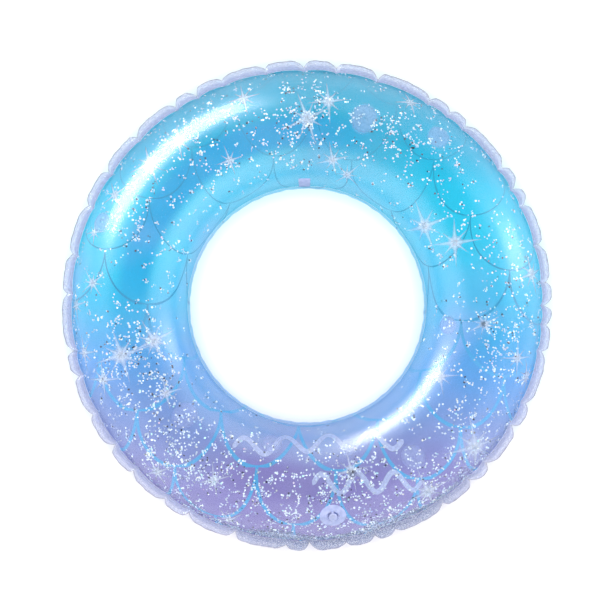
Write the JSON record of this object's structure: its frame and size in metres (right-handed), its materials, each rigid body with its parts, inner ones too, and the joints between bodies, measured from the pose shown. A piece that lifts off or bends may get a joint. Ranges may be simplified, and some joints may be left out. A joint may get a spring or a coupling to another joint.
{
  "type": "inflatable swim ring",
  "caption": "Transparent inflatable swim ring with a printed underside, scalloped outer seam, loose glitter inside and a push-in valve with a tethered stopper.",
  "frame": {"origin": "centre of the base, on the ring's own axis, in the plane the ring lies on", "axes": "+Z along the ring's axis, from the printed underside to the clear top; the valve lies 7 degrees from -Y towards +X"},
  "size_m": [0.706, 0.706, 0.1657],
  "materials": {
    "clear_film": "clear glossy soft PVC film",
    "printed_film": "glossy translucent PVC film, printed blue to lilac",
    "weld": "clear double film, welded and puckered",
    "valve_plastic": "frosted soft PVC moulding",
    "glitter": "bright metallised flakes"
  },
  "bodies": {
    "float": {"top_film": "clear_film", "bottom_film": "printed_film", "outer_seam_band": "weld", "inner_seam_band": "weld", "seam_patch": "weld", "valve_flange": "valve_plastic", "valve_diaphragm": "valve_plastic", "loose_glitter": "glitter"},
    "valve_stem": {"valve_neck": "valve_plastic", "plug_tether": "valve_plastic"},
    "plug": {"valve_plug": "valve_plastic"},
    "flap": {"valve_flap": "valve_plastic"}
  },
  "joints": [
    {"name": "valve_pull", "type": "slide", "parent": "float", "child": "valve_stem", "axis": [0.0681, -0.555, 0.829], "range_m": [0, 0.014], "deforming": ["valve_diaphragm"]},
    {"name": "plug_hinge", "type": "hinge", "parent": "valve_stem", "child": "plug", "pos_m": [0.03612, -0.29421, 0.15812], "axis": [-0.9925, -0.1219, 0], "range_deg": [0, 150], "deforming": ["plug_tether"]},
    {"name": "flap_hinge", "type": "hinge", "parent": "valve_stem", "child": "flap", "pos_m": [0.03554, -0.28942, 0.14666], "axis": [0.9925, 0.1219, 0], "range_deg": [0, 55], "stiffness_Nm_per_rad": 0.0001, "springref_deg": -14.9}
  ]
}
